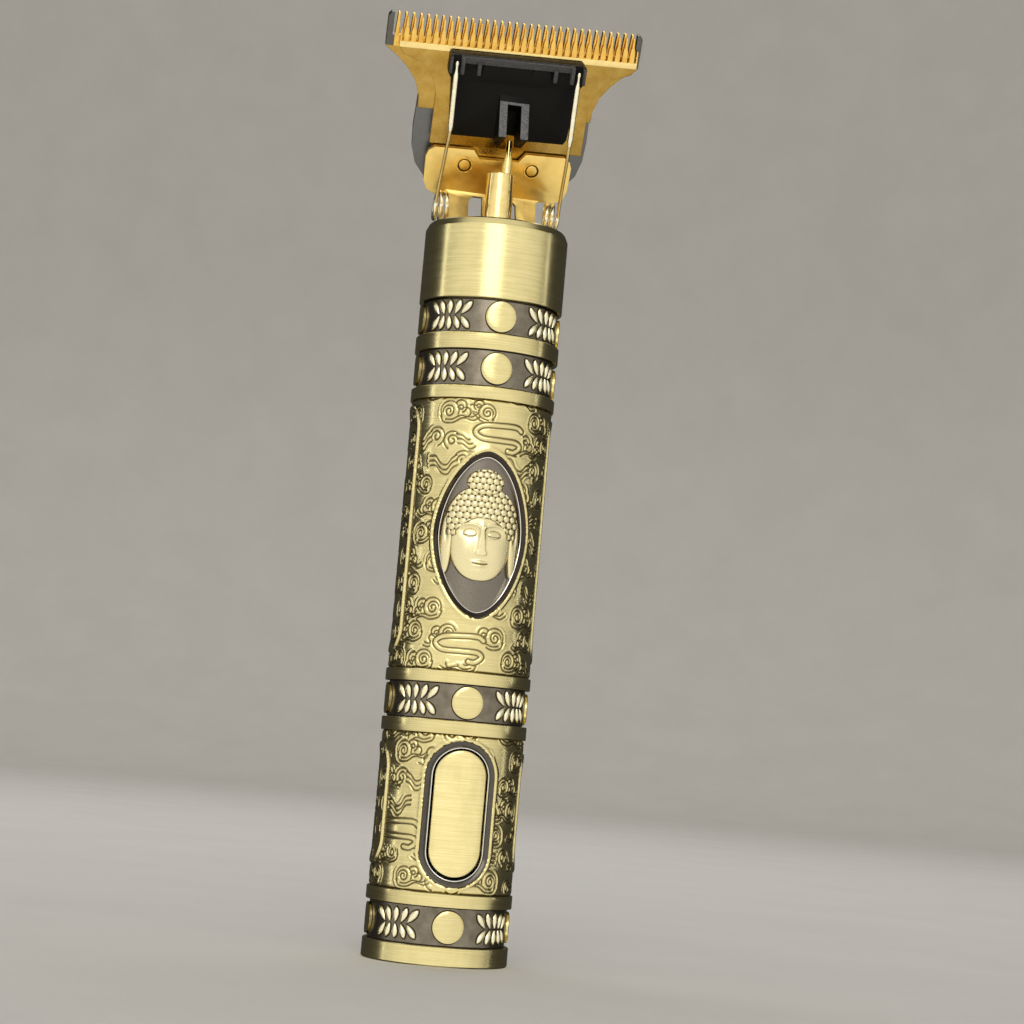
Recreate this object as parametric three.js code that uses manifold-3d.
// Cordless T-blade hair clipper with an antique-brass tubular handle.
// Millimetres, +Z up along the handle, front (medallion, button, blade mechanism) facing -Y.
// The origin is the centre of the flat base. Every separate physical piece is one named mesh.
import * as THREE from 'three';
import { mergeVertices } from 'three/addons/utils/BufferGeometryUtils.js';
import Module from 'manifold-3d';

const wasm = await Module();
wasm.setup();

// ---- Driving dimensions ----
const RIM_R = 11.7; // handle radius on its raised rims
const PANEL_R = 11.4; // handle radius on the two patterned panels
const BAND_R = 11.0; // handle radius in the four sunken bands
const BORE_R = 10.4; // inside of the handle tube
const GAP = 0.3; // clearance between neighbours that are cut or turned
const SNUG = 0.12; // clearance between neighbours that line up with the axes
const ROUND = 40; // sides of the handle's circles
const SMALL = 20; // sides of the small circles

// Heights up the handle.
const RIM_1 = [0, 3.1];
const RIM_2 = [9.24, 11.31];
const RIM_3 = [36.1, 38.21];
const RIM_4 = [44.06, 45.97];
const RIM_5 = [89.37, 91.37];
const RIM_6 = [97.35, 99.96];
const TUBE_TOP = 105.5;
const COLLAR_Z = 105.62;
const COLLAR_BEVEL_Z = 117.1;
const COLLAR_TOP = 118.8;

// Pill-shaped power button, as half-widths and lowest and highest points.
const BEZEL_HALF = 5.55;
const BEZEL_Z = [12.3, 35.1];
const PLATE_HALF = 4.33;
const PLATE_Z = [13.7, 33.9];

// Oval medallion, as half-widths, half-heights and centre height.
const MEDAL_Z = 67.75;
const MEDAL_OUTER = [7.48, 13.27];
const MEDAL_INNER = [6.7, 12.45];
const MEDAL_POWER = 1.8; // below 2 the oval grows pointed at its ends
const MEDAL_GROUND_R = 10.3;

// Motor, on an axis set a little behind the handle's.
const MOTOR_Y = 1.6;
const MOTOR_R = 7.4;
const MOTOR_Z = [93.5, 115.9];
const SHAFT_R = 1.0;
const SHAFT_CLEARANCE = 0.08;
const ECCENTRIC_R = 2.35;
const ECCENTRIC_Z = [114.3, 128.6];
const PIN_OFFSET = 1.2;
const PIN_R = 0.82;
const PIN_TIP_R = 0.42;
const PIN_TOP = 134.4;
const MOTOR_SCREW_X = 4.6;
const SCREW_HOLE_R = 1.0;
const REST_PHASE = THREE.MathUtils.degToRad(42); // the pin's turn from -Y towards +X at rest
const REST_SHIFT = PIN_OFFSET * Math.sin(REST_PHASE); // the cutter's shift along its slide at rest

// Blade head: its own frame has x across, z towards the teeth and y through the plates.
const HEAD_X = 0.1;
const HEAD_Y = 6.5;
const HEAD_Z = 131.4;
const HEAD_LEAN = THREE.MathUtils.degToRad(35);
const HEAD_TWIST = THREE.MathUtils.degToRad(-2.3);
const BLADE_HALF = 21.0;
const BLADE_TIP = 24.6;
const CUTTER_HALF = 19.65;
const CUTTER_TIP = 24.2;
const FIXED_TEETH = 33;
const CUTTER_TEETH = 32;
const PITCH = 1.206;
const SCREW_X = 5.7;

// Springs: coil on a crosswise axis, with a leg up to the cutter carrier's corner.
const COIL_X = 10.3; // the turn that the leg leaves from, with the others inside it
const COIL_Y = 4.6;
const COIL_Z = 123.0;
const COIL_R = 2.3;
const WIRE_R = 0.35;
const COIL_TURNS = 2.25;
const COIL_PITCH = 0.95;

// Battery.
const CELL_R = 7.1;
const CELL_Z = [39.0, 89.0];

// ---- Materials ----
function finish(color, roughness, metalness) {
  return new THREE.MeshStandardMaterial({ color, roughness, metalness });
}

const antiqueBrass = finish(0xb9a56c, 0.38, 1.0);
const pewter = finish(0x7d7564, 0.4, 1.0);
const darkChrome = finish(0x8d8578, 0.18, 1.0);
const gold = finish(0xd9a441, 0.24, 1.0);
const springGold = finish(0xe6cf8e, 0.22, 1.0);
const steel = finish(0xa9abad, 0.3, 1.0);
const greySteel = finish(0x75777a, 0.35, 1.0);
const copper = finish(0xb56a3b, 0.35, 1.0);
const sinteredBronze = finish(0xa27b47, 0.6, 0.9);
const carbon = finish(0x2b2b2d, 0.7, 0.1);
const ferrite = finish(0x39383a, 0.8, 0.2);
const blackPlastic = finish(0x14120e, 0.45, 0.0);
const whitePlastic = finish(0xd8d8d2, 0.5, 0.0);
const boardGreen = finish(0x1d5a36, 0.55, 0.0);
const cellWrap = finish(0x2f6fa8, 0.4, 0.0);
const foamGrey = finish(0x4a4a4a, 0.95, 0.0);
const redPlastic = finish(0xa32020, 0.5, 0.0);

// ---- Solids ----
function solidOf(geometry) {
  const bare = geometry.clone();
  bare.deleteAttribute('normal');
  bare.deleteAttribute('uv');
  const merged = mergeVertices(bare, 1e-4);
  return new wasm.Manifold(
    new wasm.Mesh({
      numProp: 3,
      vertProperties: new Float32Array(merged.attributes.position.array),
      triVerts: new Uint32Array(merged.index.array),
    }),
  );
}

function geometryOf(solid) {
  const mesh = solid.getMesh();
  const geometry = new THREE.BufferGeometry();
  geometry.setAttribute('position', new THREE.BufferAttribute(mesh.vertProperties, 3));
  geometry.setIndex(new THREE.BufferAttribute(mesh.triVerts, 1));
  geometry.computeVertexNormals();
  return geometry;
}

// A profile of [radius, height] points, anticlockwise, turned about a vertical axis at (x, y).
function turned(profile, sides = SMALL, x = 0, y = 0) {
  const points = profile.map(([r, z]) => new THREE.Vector2(r, z));
  return solidOf(new THREE.LatheGeometry(points, sides).rotateX(Math.PI / 2).translate(x, y, 0));
}

function ring(outer, inner, [low, high], sides = SMALL, x = 0, y = 0) {
  return turned([[inner, low], [outer, low], [outer, high], [inner, high], [inner, low]], sides, x, y);
}

function rod(radius, [low, high], sides = SMALL, x = 0, y = 0) {
  return turned([[0, low], [radius, low], [radius, high], [0, high]], sides, x, y);
}

function box([x0, x1], [y0, y1], [z0, z1]) {
  const geometry = new THREE.BoxGeometry(x1 - x0, y1 - y0, z1 - z0);
  return solidOf(geometry.translate((x0 + x1) / 2, (y0 + y1) / 2, (z0 + z1) / 2));
}

// An outline in x and z, as thick as y0 to y1.
function slab(outline, [y0, y1]) {
  const settings = { depth: y1 - y0, bevelEnabled: false, curveSegments: 8 };
  const geometry = new THREE.ExtrudeGeometry(outline, settings);
  return solidOf(geometry.rotateX(Math.PI / 2).translate(0, y1, 0));
}

// An outline in y and z, reaching as far as halfWidth to each side of x = 0.
function across(outline, halfWidth) {
  const geometry = new THREE.ExtrudeGeometry(outline, { depth: 2 * halfWidth, bevelEnabled: false });
  const turn = new THREE.Matrix4().makeBasis(
    new THREE.Vector3(0, 1, 0),
    new THREE.Vector3(0, 0, 1),
    new THREE.Vector3(1, 0, 0),
  );
  return solidOf(geometry.applyMatrix4(turn).translate(-halfWidth, 0, 0));
}

// An outline in x and y, standing from low to high.
function prism(outline, [low, high]) {
  const settings = { depth: high - low, bevelEnabled: false, curveSegments: 12 };
  const geometry = new THREE.ExtrudeGeometry(outline, settings);
  return solidOf(geometry.translate(0, 0, low));
}

function polygon(points) {
  return new THREE.Shape(points.map(([a, b]) => new THREE.Vector2(a, b)));
}

function mirrored(rightSide) {
  const leftSide = rightSide.map(([x, z]) => [-x, z]).reverse();
  return polygon([...rightSide, ...leftSide]);
}

function stadium(half, [low, high]) {
  const shape = new THREE.Shape();
  shape.absarc(0, high - half, half, 0, Math.PI);
  shape.absarc(0, low + half, half, Math.PI, 2 * Math.PI);
  return shape;
}

function oval([a, b], steps = 40) {
  const points = [];
  for (let i = 0; i < steps; i += 1) {
    const angle = (2 * Math.PI * i) / steps;
    const c = Math.cos(angle);
    const s = Math.sin(angle);
    const power = 2 / MEDAL_POWER;
    points.push([
      a * Math.sign(c) * Math.abs(c) ** power,
      MEDAL_Z + b * Math.sign(s) * Math.abs(s) ** power,
    ]);
  }
  return polygon(points);
}

function thread(points, radius, steps) {
  const path = new THREE.CatmullRomCurve3(points);
  const section = new THREE.Shape().absarc(0, 0, radius, 0, 2 * Math.PI);
  return new THREE.ExtrudeGeometry(section, { steps, extrudePath: path, curveSegments: 3 });
}

// ---- Scene graph ----
const group = new THREE.Group();
const head = new THREE.Group();
head.position.set(HEAD_X, HEAD_Y, HEAD_Z);
head.rotation.set(HEAD_LEAN, HEAD_TWIST, 0);
head.updateMatrix();
group.add(head);

function part(name, shape, material, parent = group) {
  const geometry = shape instanceof THREE.BufferGeometry ? shape : geometryOf(shape);
  const mesh = new THREE.Mesh(geometry, material);
  mesh.name = name;
  parent.add(mesh);
}

function fromHead(x, y, z) {
  return new THREE.Vector3(x, y, z).applyMatrix4(head.matrix);
}

// Moves a solid built in the head's frame into the handle's frame.
function turnedToHandle(solid) {
  return solidOf(geometryOf(solid).applyMatrix4(head.matrix));
}

// ---- Handle shell ----
function outerSleeve() {
  const profile = [[BORE_R, 0]];
  const bands = [
    [RIM_1, RIM_R],
    [[RIM_1[1], RIM_2[0]], BAND_R],
    [RIM_2, RIM_R],
    [[RIM_2[1], RIM_3[0]], PANEL_R],
    [RIM_3, RIM_R],
    [[RIM_3[1], RIM_4[0]], BAND_R],
    [RIM_4, RIM_R],
    [[RIM_4[1], RIM_5[0]], PANEL_R],
    [RIM_5, RIM_R],
    [[RIM_5[1], RIM_6[0]], BAND_R],
    [RIM_6, RIM_R],
    [[RIM_6[1], TUBE_TOP], BAND_R],
  ];
  for (const [[low, high], radius] of bands) {
    profile.push([radius, low], [radius, high]);
  }
  profile.push([BORE_R, TUBE_TOP], [BORE_R, 0]);
  const depth = [-RIM_R - 1, -5];
  const buttonHole = slab(stadium(BEZEL_HALF + SNUG, [BEZEL_Z[0] - SNUG, BEZEL_Z[1] + SNUG]), depth);
  const medalHole = slab(oval(MEDAL_OUTER.map((half) => half + SNUG)), depth);
  return turned(profile, ROUND).subtract(buttonHole).subtract(medalHole);
}

function baseCap() {
  const cap = turned(
    [[0, 0], [BORE_R - SNUG, 0], [BORE_R - SNUG, 6], [8.9, 6], [8.9, 2], [0, 2]],
    ROUND,
  );
  const portHole = slab(polygon([[-4.8, -1], [4.8, -1], [4.8, 3], [-4.8, 3]]), [-1.9, 1.9]);
  return cap.subtract(portHole);
}

function chargeSocket() {
  const shell = box([-4.6, 4.6], [-1.7, 1.7], [0.4, 7.4]);
  const mouth = box([-4.2, 4.2], [-1.3, 1.3], [-1, 6.4]);
  const tongue = box([-3.3, 3.3], [-0.35, 0.35], [1.2, 6.6]);
  return shell.subtract(mouth).add(tongue);
}

function collarRing() {
  return turned(
    [
      [10.1, 100.4],
      [10.1, COLLAR_Z],
      [RIM_R, COLLAR_Z],
      [RIM_R, COLLAR_BEVEL_Z],
      [RIM_R - 0.6, COLLAR_TOP],
      [BORE_R, COLLAR_TOP],
      [BORE_R, 115.95],
      [9.3, 115.95],
      [9.3, 100.4],
      [10.1, 100.4],
    ],
    ROUND,
  );
}

// ---- Medallion ----
function medallionRim() {
  const shell = ring(RIM_R - 0.05, 9.6, [MEDAL_Z - 15, MEDAL_Z + 15], ROUND);
  const outline = slab(oval(MEDAL_OUTER), [-RIM_R - 1, -5]);
  const opening = slab(oval(MEDAL_INNER), [-RIM_R - 2, -4]);
  return shell.intersect(outline).subtract(opening);
}

function medallionPlate() {
  const plate = ring(MEDAL_GROUND_R, 9.5, [MEDAL_Z - 15, MEDAL_Z + 15], ROUND);
  const outline = slab(oval(MEDAL_INNER.map((half) => half - SNUG)), [-RIM_R - 1, -5]);
  const relief = ring(RIM_R - 0.1, 10, [MEDAL_Z - 15, MEDAL_Z + 15], ROUND);
  const bustOutline = new THREE.Shape().absellipse(0, MEDAL_Z + 1, 5.6, 9.0, 0, 2 * Math.PI);
  return plate.intersect(outline).add(relief.intersect(slab(bustOutline, [-RIM_R - 1, -5])));
}

// ---- Button, board and switch ----
function buttonBezel() {
  const shell = ring(RIM_R - 0.05, 9.9, [BEZEL_Z[0] - 1, BEZEL_Z[1] + 1], ROUND);
  const outline = slab(stadium(BEZEL_HALF, BEZEL_Z), [-RIM_R - 1, -5]);
  const opening = slab(stadium(PLATE_HALF, PLATE_Z), [-RIM_R - 2, -4]);
  return shell.intersect(outline).subtract(opening);
}

function powerButton() {
  const shell = ring(RIM_R - 0.15, 10.1, [PLATE_Z[0] - 1, PLATE_Z[1] + 1], ROUND);
  const height = [PLATE_Z[0] + 0.25, PLATE_Z[1] - 0.25];
  return shell.intersect(slab(stadium(PLATE_HALF - 0.25, height), [-RIM_R - 1, -5]));
}

const SWITCH_Z = [20.8, 26.8];
const SWITCH_MID = (SWITCH_Z[0] + SWITCH_Z[1]) / 2;
const BOARD_Y = [-6.0, -5.0];

function stud(radius, [y0, y1], z, x = 0) {
  return slab(new THREE.Shape().absarc(x, z, radius, 0, 2 * Math.PI), [y0, y1]);
}

function tactSwitch() {
  const body = box([-3, 3], [-7.6, BOARD_Y[0] - SNUG], SWITCH_Z);
  return body.add(stud(1.75, [-8.3, -7.5], SWITCH_MID));
}

// ---- Chassis and battery ----
function chassis() {
  const opening = THREE.MathUtils.degToRad(50);
  const outline = new THREE.Shape();
  const start = -Math.PI / 2 + opening;
  const end = (3 * Math.PI) / 2 - opening;
  outline.absarc(0, 0, 9.1, start, end, false);
  outline.absarc(0, 0, 7.5, end, start, true);
  return prism(outline, [8, 90.8]);
}

function batteryCell() {
  const [low, high] = CELL_Z;
  return turned([[0, low], [CELL_R, low], [CELL_R, high - 1], [2.9, high - 1], [2.9, high], [0, high]]);
}

// ---- Motor ----
function motorCan() {
  const [low, high] = MOTOR_Z;
  const can = turned(
    [
      [MOTOR_R - 0.7, low],
      [MOTOR_R, low],
      [MOTOR_R, high],
      [2.5, high],
      [2.5, high - 1.2],
      [MOTOR_R - 0.7, high - 1.2],
      [MOTOR_R - 0.7, low],
    ],
    SMALL,
    0,
    MOTOR_Y,
  );
  const left = rod(SCREW_HOLE_R, [high - 2, high + 1], 12, -MOTOR_SCREW_X, MOTOR_Y);
  const right = rod(SCREW_HOLE_R, [high - 2, high + 1], 12, MOTOR_SCREW_X, MOTOR_Y);
  return can.subtract(left).subtract(right);
}

function motorEndCap() {
  const [low] = MOTOR_Z;
  return turned(
    [
      [1.8, low - 1.6],
      [MOTOR_R, low - 1.6],
      [MOTOR_R, low - 0.1],
      [6.5, low - 0.1],
      [6.5, low + 0.6],
      [1.8, low + 0.6],
      [1.8, low - 1.6],
    ],
    SMALL,
    0,
    MOTOR_Y,
  );
}

function magnet(side) {
  const half = THREE.MathUtils.degToRad(58);
  const middle = side > 0 ? 0 : Math.PI;
  const outline = new THREE.Shape();
  outline.absarc(0, 0, 6.55, middle - half, middle + half, false);
  outline.absarc(0, 0, 5.3, middle + half, middle - half, true);
  return prism(outline, [98, 110]).translate([0, MOTOR_Y, 0]);
}

const POLES = 3;
const CORE_Z = [98.5, 109.5];

// The rotor's three slots, as one bar each, turned evenly about the shaft.
function slotBars([low, high], width, inner, outer) {
  const bars = [];
  for (let i = 0; i < POLES; i += 1) {
    const angle = (2 * Math.PI * i) / POLES;
    const bar = new THREE.BoxGeometry(outer - inner, width, high - low);
    bar.translate((inner + outer) / 2, 0, (low + high) / 2).rotateZ(angle).translate(0, MOTOR_Y, 0);
    bars.push(solidOf(bar));
  }
  return bars;
}

function rotorCore() {
  const core = ring(5.0, SHAFT_R + SHAFT_CLEARANCE, CORE_Z, SMALL, 0, MOTOR_Y);
  const bars = slotBars([CORE_Z[0] - 1, CORE_Z[1] + 1], 2.4, 2.4, 6);
  return bars.reduce((solid, bar) => solid.subtract(bar), core);
}

function rotorWindings() {
  const lower = ring(4.6, 1.7, [CORE_Z[0] - 1.6, CORE_Z[0] - SNUG], SMALL, 0, MOTOR_Y);
  const upper = ring(4.6, 1.7, [CORE_Z[1] + SNUG, CORE_Z[1] + 1.6], SMALL, 0, MOTOR_Y);
  const bars = slotBars([CORE_Z[0] - 1, CORE_Z[1] + 1], 2.0, 2.7, 4.5);
  return bars.reduce((solid, bar) => solid.add(bar), lower.add(upper));
}

function brush(side) {
  const sides = [side * 2.5, side * 4.2].sort((a, b) => a - b);
  return box(sides, [MOTOR_Y - 0.7, MOTOR_Y + 0.7], [94.5, 96.2]);
}

function eccentricDrive() {
  const body = ring(ECCENTRIC_R, SHAFT_R + SHAFT_CLEARANCE, ECCENTRIC_Z, SMALL, 0, MOTOR_Y);
  const plug = rod(ECCENTRIC_R, [118.6, ECCENTRIC_Z[1]], SMALL, 0, MOTOR_Y);
  const base = ECCENTRIC_Z[1];
  const pin = turned(
    [
      [0, base - 1],
      [PIN_R, base - 1],
      [PIN_R, base + 1.2],
      [PIN_TIP_R, PIN_TOP],
      [0, PIN_TOP],
    ],
    16,
    REST_SHIFT,
    MOTOR_Y - PIN_OFFSET * Math.cos(REST_PHASE),
  );
  return body.add(plug).add(pin);
}

// ---- Blade bracket: foot on the motor, riser and tab of one folded plate ----
const FOOT_Z = [116.05, 117.3];
const TAB_THICK = 1.0;
const TAB_LOW = -5.6;

function bracketTab() {
  const outline = mirrored([
    [10.2, TAB_LOW],
    [11.6, TAB_LOW + 0.8],
    [12.2, TAB_LOW + 2.4],
    [12.3, 1.0],
    [11.9, 2.1],
    [10.9, 2.75],
    [4.4, 2.75],
    [3.3, 1.25],
  ]);
  let tab = slab(outline, [-TAB_THICK, 0]);
  for (const side of [-1, 1]) {
    tab = tab.add(stud(1.45, [-TAB_THICK - 0.35, -0.5], 0, side * SCREW_X));
  }
  for (const side of [-1, 1]) {
    tab = tab.subtract(stud(1.15, [-3, 1], 0, side * SCREW_X));
  }
  return turnedToHandle(tab);
}

function bracketRiser() {
  const topFront = fromHead(0, -TAB_THICK, TAB_LOW + 0.6);
  const topBack = fromHead(0, -0.05, TAB_LOW + 0.1);
  const side = polygon([
    [4.3, FOOT_Z[0] + 0.4],
    [5.4, FOOT_Z[0] + 0.4],
    [topBack.y, topBack.z],
    [topFront.y, topFront.z],
  ]);
  const notchLow = 119.6;
  const top = topFront.z + 0.4;
  const front = mirrored([
    [7.7, FOOT_Z[0]],
    [7.7, COLLAR_TOP + 0.3],
    [8.6, COLLAR_TOP + 0.5],
    [8.6, notchLow],
    [7.4, notchLow + 0.6],
    [7.4, 126.1],
    [8.4, top],
  ]);
  const riser = across(side, 13).intersect(slab(front, [0, 14]));
  const window = polygon([
    [1.7, 119.4],
    [4.2, 119.4],
    [4.0, 125.3],
    [3.3, 126.1],
    [1.7, 126.1],
  ]);
  const right = slab(window, [0, 14]);
  return riser.subtract(right).subtract(right.mirror([1, 0, 0]));
}

function bladeBracket() {
  let foot = rod(BORE_R - SNUG, FOOT_Z, ROUND).subtract(rod(3.0, [110, 120], SMALL, 0, MOTOR_Y));
  for (const side of [-1, 1]) {
    foot = foot.subtract(rod(SCREW_HOLE_R, [110, 120], 12, side * MOTOR_SCREW_X, MOTOR_Y));
  }
  return foot.add(bracketRiser()).add(bracketTab());
}

// ---- Blades ----
// A comb's edge from right to left. A tooth is a list of [half-width, height], root first.
function teethEdge(count, tooth) {
  const edge = [];
  for (let i = count - 1; i >= 0; i -= 1) {
    const x = (i - (count - 1) / 2) * PITCH;
    const down = tooth.map(([half, z]) => [x - half, z]).reverse();
    edge.push(...tooth.map(([half, z]) => [x + half, z]), ...down);
  }
  return edge;
}

function fixedBlade() {
  const root = 20.8;
  const land = 0.95;
  const side = [
    [11.4, -3.6],
    [11.4, 8.8],
    [14.5, 8.8],
    [14.6, 10.8],
    [15.4, 13.3],
    [16.9, 15.4],
    [18.6, 17.1],
    [BLADE_HALF, 18.9],
    [BLADE_HALF, BLADE_TIP - 0.6],
    [BLADE_HALF - 0.5, BLADE_TIP],
    [BLADE_HALF - land, BLADE_TIP],
    [BLADE_HALF - land, root],
  ];
  const left = side.map(([x, z]) => [-x, z]).reverse();
  const teeth = teethEdge(FIXED_TEETH, [[0.36, root], [0.18, BLADE_TIP]]);
  const outline = polygon([...side, ...teeth, ...left]);
  let blade = slab(outline, [GAP, 1.5]);
  for (const sign of [-1, 1]) {
    blade = blade.subtract(stud(1.3, [-1, 4], 0, sign * SCREW_X));
  }
  return blade;
}

function bladeBackplate() {
  const outline = mirrored([
    [9.8, -4.7],
    [12.1, -3.5],
    [13.7, -1.4],
    [14.5, 1.4],
    [14.7, 5.0],
    [14.5, 10.4],
  ]);
  let plate = slab(outline, [1.8, 2.8]);
  for (const sign of [-1, 1]) {
    plate = plate.subtract(stud(1.3, [-1, 4], 0, sign * SCREW_X));
  }
  return plate;
}

function cutterBlade() {
  const root = 20.3;
  const side = [
    [12.8, 3.4],
    [12.8, 12.0],
    [13.3, 13.8],
    [14.3, 15.6],
    [16.0, 17.1],
    [CUTTER_HALF - 0.7, 18.3],
    [CUTTER_HALF, 19.4],
    [CUTTER_HALF, 22.1],
    [CUTTER_HALF - 0.25, 22.4],
    [CUTTER_HALF - 0.3, root],
  ];
  const left = side.map(([x, z]) => [-x, z]).reverse();
  // Each tooth is wide for half its length and then narrows to a thin tip.
  const tooth = [[0.42, root], [0.4, 21.9], [0.32, 22.4], [0.2, 22.75], [0.15, CUTTER_TIP]];
  const blade = slab(polygon([...side, ...teethEdge(CUTTER_TEETH, tooth), ...left]), [-1.1, 0]);
  // The outside is bevelled, from full thickness below the teeth to thin tips.
  const bevelLow = 19.4;
  const wedge = polygon([
    [-2, bevelLow],
    [-1.1, bevelLow],
    [-0.4, CUTTER_TIP + 0.1],
    [-2, CUTTER_TIP + 0.1],
  ]);
  return blade.subtract(across(wedge, 30)).translate([REST_SHIFT, 0, 0]);
}

const CARRIER_Y = [-3.4, -1.4];
const CARRIER_Z = [6.0, 19.9];
const CARRIER_SHIFT = REST_SHIFT - 0.3; // the carrier is moulded on a little off the cutter's centre
const FORK_FRONT = -4.6;
const FORK_HALF = 2.45;
const SLOT_HALF = 1.15;

function cutterCarrier() {
  const outline = mirrored([
    [9.3, CARRIER_Z[0]],
    [9.8, CARRIER_Z[0] + 0.8],
    [10.5, 15.5],
    [11.2, 16.6],
    [11.2, CARRIER_Z[1] - 0.4],
    [10.8, CARRIER_Z[1]],
  ]);
  let carrier = slab(outline, CARRIER_Y);
  for (const side of [-1, 1]) {
    for (const [x0, x1] of [[8.75, 9.35], [10.75, 11.2]]) {
      const xs = [side * x0, side * x1].sort((a, b) => a - b);
      carrier = carrier.add(box(xs, [-4.6, -3], [16.9, CARRIER_Z[1] - 0.2]));
    }
    carrier = carrier.add(stud(1.7, [-3.65, -3], 17.3, side * 4.1));
  }
  const bar = box([-9.35, 9.35], [-3.9, -3], [CARRIER_Z[1] - 1.3, CARRIER_Z[1] - 0.2]);
  return turnedToHandle(carrier.add(bar).translate([CARRIER_SHIFT, 0, 0]));
}

// The fork that takes the eccentric pin, with an upright front face.
function driveFork() {
  const plateTop = fromHead(0, -2.4, 14.2);
  const plateLow = fromHead(0, -2.4, CARRIER_Z[0] - 0.2);
  const side = polygon([
    [FORK_FRONT, 133.5],
    [plateLow.y, 133.5],
    [plateLow.y, plateLow.z],
    [plateTop.y, plateTop.z],
    [FORK_FRONT, plateTop.z - 2.2],
  ]);
  const lean = Math.tan(HEAD_TWIST);
  const middle = (z) => fromHead(CARRIER_SHIFT + 0.1, -2.4, CARRIER_Z[0]).x + (z - plateLow.z) * lean;
  const outline = (half, low, high) =>
    polygon([
      [middle(low) - half, low],
      [middle(low) + half, low],
      [middle(high) + half, high],
      [middle(high) - half, high],
    ]);
  const block = across(side, 6).intersect(slab(outline(FORK_HALF, 133, 141.5), [-8, 8]));
  const slot = slab(outline(SLOT_HALF, 132, 139.0), [-8, 2.7]);
  return { block, slot };
}

function carrierWithFork() {
  const { block, slot } = driveFork();
  return cutterCarrier().add(block).subtract(slot);
}

// ---- Fasteners ----
function bladeScrew(side) {
  const shank = stud(0.95, [-1.2, 3.2], 0, side * SCREW_X);
  return shank.add(stud(2.0, [3.1, 4.0], 0, side * SCREW_X));
}

function motorScrew(side) {
  const x = side * MOTOR_SCREW_X;
  return rod(0.8, [114.9, 117.5], 12, x, MOTOR_Y).add(rod(1.5, [117.42, 118.4], 16, x, MOTOR_Y));
}

// ---- Springs ----
function springPoints(side) {
  const points = [];
  const stepsPerTurn = 10;
  const steps = Math.round(COIL_TURNS * stepsPerTurn);
  for (let i = 0; i <= steps; i += 1) {
    const turn = (i - steps) / stepsPerTurn;
    const angle = Math.PI + turn * 2 * Math.PI;
    points.push(
      new THREE.Vector3(
        side * (COIL_X + turn * COIL_PITCH),
        COIL_Y + COIL_R * Math.cos(angle),
        COIL_Z - COIL_R * Math.sin(angle),
      ),
    );
  }
  const tip = fromHead(side * 10.05 + CARRIER_SHIFT, -4.4, 19.0);
  const bend = new THREE.Vector3(side * 9.95, -4.4, 133.4);
  const start = points[points.length - 1];
  points.push(start.clone().lerp(bend, 0.35).add(new THREE.Vector3(0, 0.3, 0)));
  points.push(start.clone().lerp(bend, 0.7));
  points.push(bend);
  points.push(bend.clone().lerp(tip, 0.5));
  points.push(tip);
  return points;
}

// ---- Assembly ----
part('outer_sleeve', outerSleeve(), antiqueBrass);
part('base_cap', baseCap(), blackPlastic);
part('collar_ring', collarRing(), antiqueBrass);
part('medallion_rim', medallionRim(), darkChrome);
part('medallion_plate', medallionPlate(), pewter);
part('button_bezel', buttonBezel(), darkChrome);
part('power_button', powerButton(), antiqueBrass);
part('switch_plunger', stud(1.5, [-10.0, -8.8], SWITCH_MID), whitePlastic);
part('tact_switch', tactSwitch(), blackPlastic);
part('circuit_board', box([-5.3, 5.3], BOARD_Y, [9.5, 37.5]), boardGreen);
part('status_led', box([-1, 1], [-7.2, BOARD_Y[0] - SNUG], [30, 32]), whitePlastic);
part('charge_socket', chargeSocket(), steel);
part('inner_chassis', chassis(), blackPlastic);
part('battery_cell', batteryCell(), cellWrap);
part('battery_tab_positive', box([-3, 3], [-1.5, 1.5], [CELL_Z[1] + SNUG, CELL_Z[1] + 0.5]), steel);
part('battery_tab_negative', box([-3, 3], [-1.5, 1.5], [CELL_Z[0] - 0.5, CELL_Z[0] - SNUG]), steel);
part('battery_foam', box([-3, 3], [-8.6, -7.2], [57, 79]), foamGrey);
part('motor_lead_positive', box([3.9, 4.6], [-7.2, -6.5], [37.9, 91.4]), redPlastic);
part('motor_lead_negative', box([-4.6, -3.9], [-7.2, -6.5], [37.9, 91.4]), blackPlastic);
part('motor_can', motorCan(), steel);
part('motor_end_cap', motorEndCap(), whitePlastic);
part('front_bush', ring(2.4, SHAFT_R + SHAFT_CLEARANCE, [113.0, 114.2], SMALL, 0, MOTOR_Y), sinteredBronze);
part('rear_bush', ring(1.7, SHAFT_R + SHAFT_CLEARANCE, [91.9, 93.6], SMALL, 0, MOTOR_Y), sinteredBronze);
part('motor_shaft', rod(SHAFT_R, [92.0, 118.3], SMALL, 0, MOTOR_Y), steel);
part('rotor_core', rotorCore(), greySteel);
part('rotor_windings', rotorWindings(), copper);
part('commutator', ring(2.3, SHAFT_R + SHAFT_CLEARANCE, [94.2, 96.6], SMALL, 0, MOTOR_Y), copper);
part('eccentric_drive', eccentricDrive(), gold);
part('blade_bracket', bladeBracket(), gold);
part('fixed_blade', fixedBlade(), gold, head);
part('blade_backplate', bladeBackplate(), greySteel, head);
part('cutter_blade', cutterBlade(), gold, head);
part('cutter_carrier', carrierWithFork(), blackPlastic);

for (const [side, label] of [[-1, 'left'], [1, 'right']]) {
  part(`magnet_${label}`, magnet(side), ferrite);
  part(`brush_${label}`, brush(side), carbon);
  part(`motor_screw_${label}`, motorScrew(side), steel);
  part(`blade_screw_${label}`, bladeScrew(side), steel, head);
  part(`spring_${label}`, thread(springPoints(side), WIRE_R, 56), springGold);
}

export default group;
